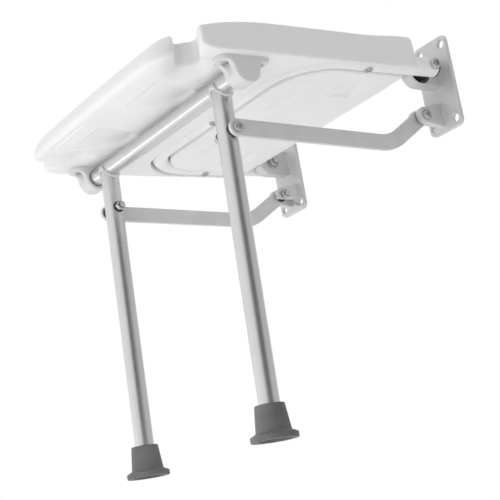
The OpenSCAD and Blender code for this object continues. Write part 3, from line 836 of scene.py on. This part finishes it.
def screw(cx, cy, z0, r, h, length):
    """Pan head looking down, with a cross recess, its seat at z0."""
    def f(X, Y, Z):
        q = np.hypot(X - cx, Y - cy)
        R = (r * r + (h * 1.5) ** 2) / (2 * h * 1.5)
        d = np.hypot(q, Z - (z0 - h * 1.5 + R)) - R
        d = smax(d, q - r, 0.5)
        d = smax(d, Z - z0, 0.2)
        d = smax(d, z0 - h - Z, 0.4)
        u, v = (X - cx) * 0.7071 + (Y - cy) * 0.7071, (X - cx) * -0.7071 + (Y - cy) * 0.7071
        taper = 0.35 * (Z - (z0 - h))
        arm = np.minimum(np.maximum(np.abs(u) - 0.17 * r, np.abs(v) - (0.6 * r - taper)), np.maximum(np.abs(v) - 0.17 * r, np.abs(u) - (0.6 * r - taper)))
        cut = np.maximum(arm, Z - (z0 - h + 0.27 * r))
        return smax(d, -cut, 0.2)
    head = nets(f, (cx - r - 0.8, cy - r - 0.8, z0 - h - 1), (cx + r + 0.8, cy + r + 0.8, z0 + 0.8), 0.24)
    return join([head, lathe([(z0 - 0.4, 1.9), (z0 + length - 2, 1.9), (z0 + length, 0.4)], 24, (cx, cy, 0), "z")])


zt = PZ - TR
fv, ff = join([screw(x, y, zt + 0.15, 6.8, 2.2, 17) for x, y in ((-TX, -150), (TX, -150), (0, FB))])
make("tube_screws", slope(fv), ff, "seat", "fastener_steel", ["frame_screws"])
fv, ff = join([screw(194, SY + k, top, 5.3, 1.9, 20) for k, top in ((-23, ZB - 5), (28, ZB - 3))])
make("saddle_fixings", slope(fv), ff, "seat", "fastener_steel", ["saddle_screws"], both=True)

# small CAD pieces that are shown as they are
for name, sl in (("upper_pivot_bushes", "black_nylon"), ("frame_tube_plugs", "black_nylon"), ("cross_tube_end_caps", "black_nylon"),
                 ("foot_washers", "fastener_steel"), ("leg_saddle_washers", "black_nylon"), ("stay_wall_washers", "black_nylon")):
    ob = NODES[name]
    ob.data.materials.clear()
    ob.data.materials.append(MATS[sl])
    ob.data.set_sharp_from_angle(angle=math.radians(35))
    bev = ob.modifiers.new("soft_edges", "BEVEL")
    bev.width = 0.0003
    bev.segments = 2
    bev.limit_method = "ANGLE"
    bev.angle_limit = math.radians(40)
    bev.harden_normals = False

# ------------------------------------------------------------------ floor, light, camera
floor = bpy.data.meshes.new("floor")
k = 6.0
floor.from_pydata([(-k, -k, -0.60), (k, -k, -0.60), (k, k, -0.60), (-k, k, -0.60)], [], [[0, 1, 2, 3]])
floor_ob = bpy.data.objects.new("floor", floor)
bpy.context.scene.collection.objects.link(floor_ob)
m, t, p, co = nodes_of("floor_pale")
t.links.new(ramp(t, noise(t, co, 3, 3), 0.3, 0.7, (0.86, 0.86, 0.86), (0.90, 0.90, 0.90)), p.inputs["Base Color"])
p.inputs["Roughness"].default_value = 0.8
floor.materials.append(m)

world = bpy.data.worlds.new("studio")
bpy.context.scene.world = world
world.use_nodes = True
wt = world.node_tree
for q in list(wt.nodes):
    wt.nodes.remove(q)
wo = wt.nodes.new("ShaderNodeOutputWorld")
bg = wt.nodes.new("ShaderNodeBackground")
bgc = wt.nodes.new("ShaderNodeBackground")
mx = wt.nodes.new("ShaderNodeMixShader")
lp = wt.nodes.new("ShaderNodeLightPath")
tc = wt.nodes.new("ShaderNodeTexCoord")


def toward(direction, a, b, lo, hi):
    """Strength that goes from lo to hi as the ray turns towards a direction."""
    d = wt.nodes.new("ShaderNodeVectorMath")
    d.operation = "DOT_PRODUCT"
    d.inputs[1].default_value = direction
    wt.links.new(tc.outputs["Generated"], d.inputs[0])
    r = wt.nodes.new("ShaderNodeMapRange")
    r.interpolation_type = "SMOOTHSTEP"
    r.inputs["From Min"].default_value, r.inputs["From Max"].default_value = a, b
    r.inputs["To Min"].default_value, r.inputs["To Max"].default_value = lo, hi
    wt.links.new(d.outputs["Value"], r.inputs["Value"])
    return r.outputs[0]


# brighter to the left of the seat, a grey side to its right, one dark screen beside the camera
parts = [toward((-0.72, -0.60, 0.36), -0.9, 0.8, 0.62, 1.01), toward((0.97, -0.24, 0.0), 0.72, 0.99, 1.0, 0.12)]
mul = wt.nodes.new("ShaderNodeMath")
mul.operation = "MULTIPLY"
wt.links.new(parts[0], mul.inputs[0])
wt.links.new(parts[1], mul.inputs[1])
bg.inputs["Color"].default_value = (1, 1, 1, 1)
wt.links.new(mul.outputs[0], bg.inputs["Strength"])
bgc.inputs["Color"].default_value = (1, 1, 1, 1)
bgc.inputs["Strength"].default_value = 1.0
wt.links.new(lp.outputs["Is Camera Ray"], mx.inputs[0])
wt.links.new(bg.outputs[0], mx.inputs[1])
wt.links.new(bgc.outputs[0], mx.inputs[2])
wt.links.new(mx.outputs[0], wo.inputs[0])


def area(name, loc, target, size, power, size_y=None):
    li = bpy.data.lights.new(name, "AREA")
    li.energy = power
    li.shape = "RECTANGLE"
    li.size = size
    li.size_y = size_y or size
    ob = bpy.data.objects.new(name, li)
    bpy.context.scene.collection.objects.link(ob)
    from mathutils import Vector
    d = Vector(target) - Vector(loc)
    ob.rotation_euler = d.to_track_quat("-Z", "Y").to_euler()
    ob.location = loc
    return ob


key = area("key_strip", (-1.30, -1.30, -0.50), (0, -0.35, -0.02), 2.2, 2.6, 0.18)
fill = area("floor_fill", (-0.1, -0.5, -0.59), (-0.1, -0.5, 1.0), 2.6, 3.35, 2.6)
inner = area("inner_fill", (0.10, -0.62, -0.42), (-0.17, -0.15, -0.05), 0.3, 0.45, 0.3)
front = area("front_fill", (0.10, -2.4, 0.0), (0.10, 0, 0.0), 0.9, 2.6, 0.9)
for li in (key, fill, inner, front):
    li.visible_camera = False
inner.visible_glossy = False
front.visible_glossy = False

cam = bpy.data.cameras.new("camera")
cam.sensor_fit = "HORIZONTAL"
cam.sensor_width = 36
cam.lens = 87.3
cam.clip_end = 50
cam_ob = bpy.data.objects.new("camera", cam)
bpy.context.scene.collection.objects.link(cam_ob)
cam_ob.matrix_world = Matrix(((0.55837, 0.289525, 0.77743, 1.267488), (0.813472, -0.007242, -0.581559, -1.185476), (-0.162746, 0.957143, -0.239565, -0.573705), (0, 0, 0, 1)))
bpy.context.scene.camera = cam_ob
bpy.context.scene.view_settings.view_transform = "Standard"
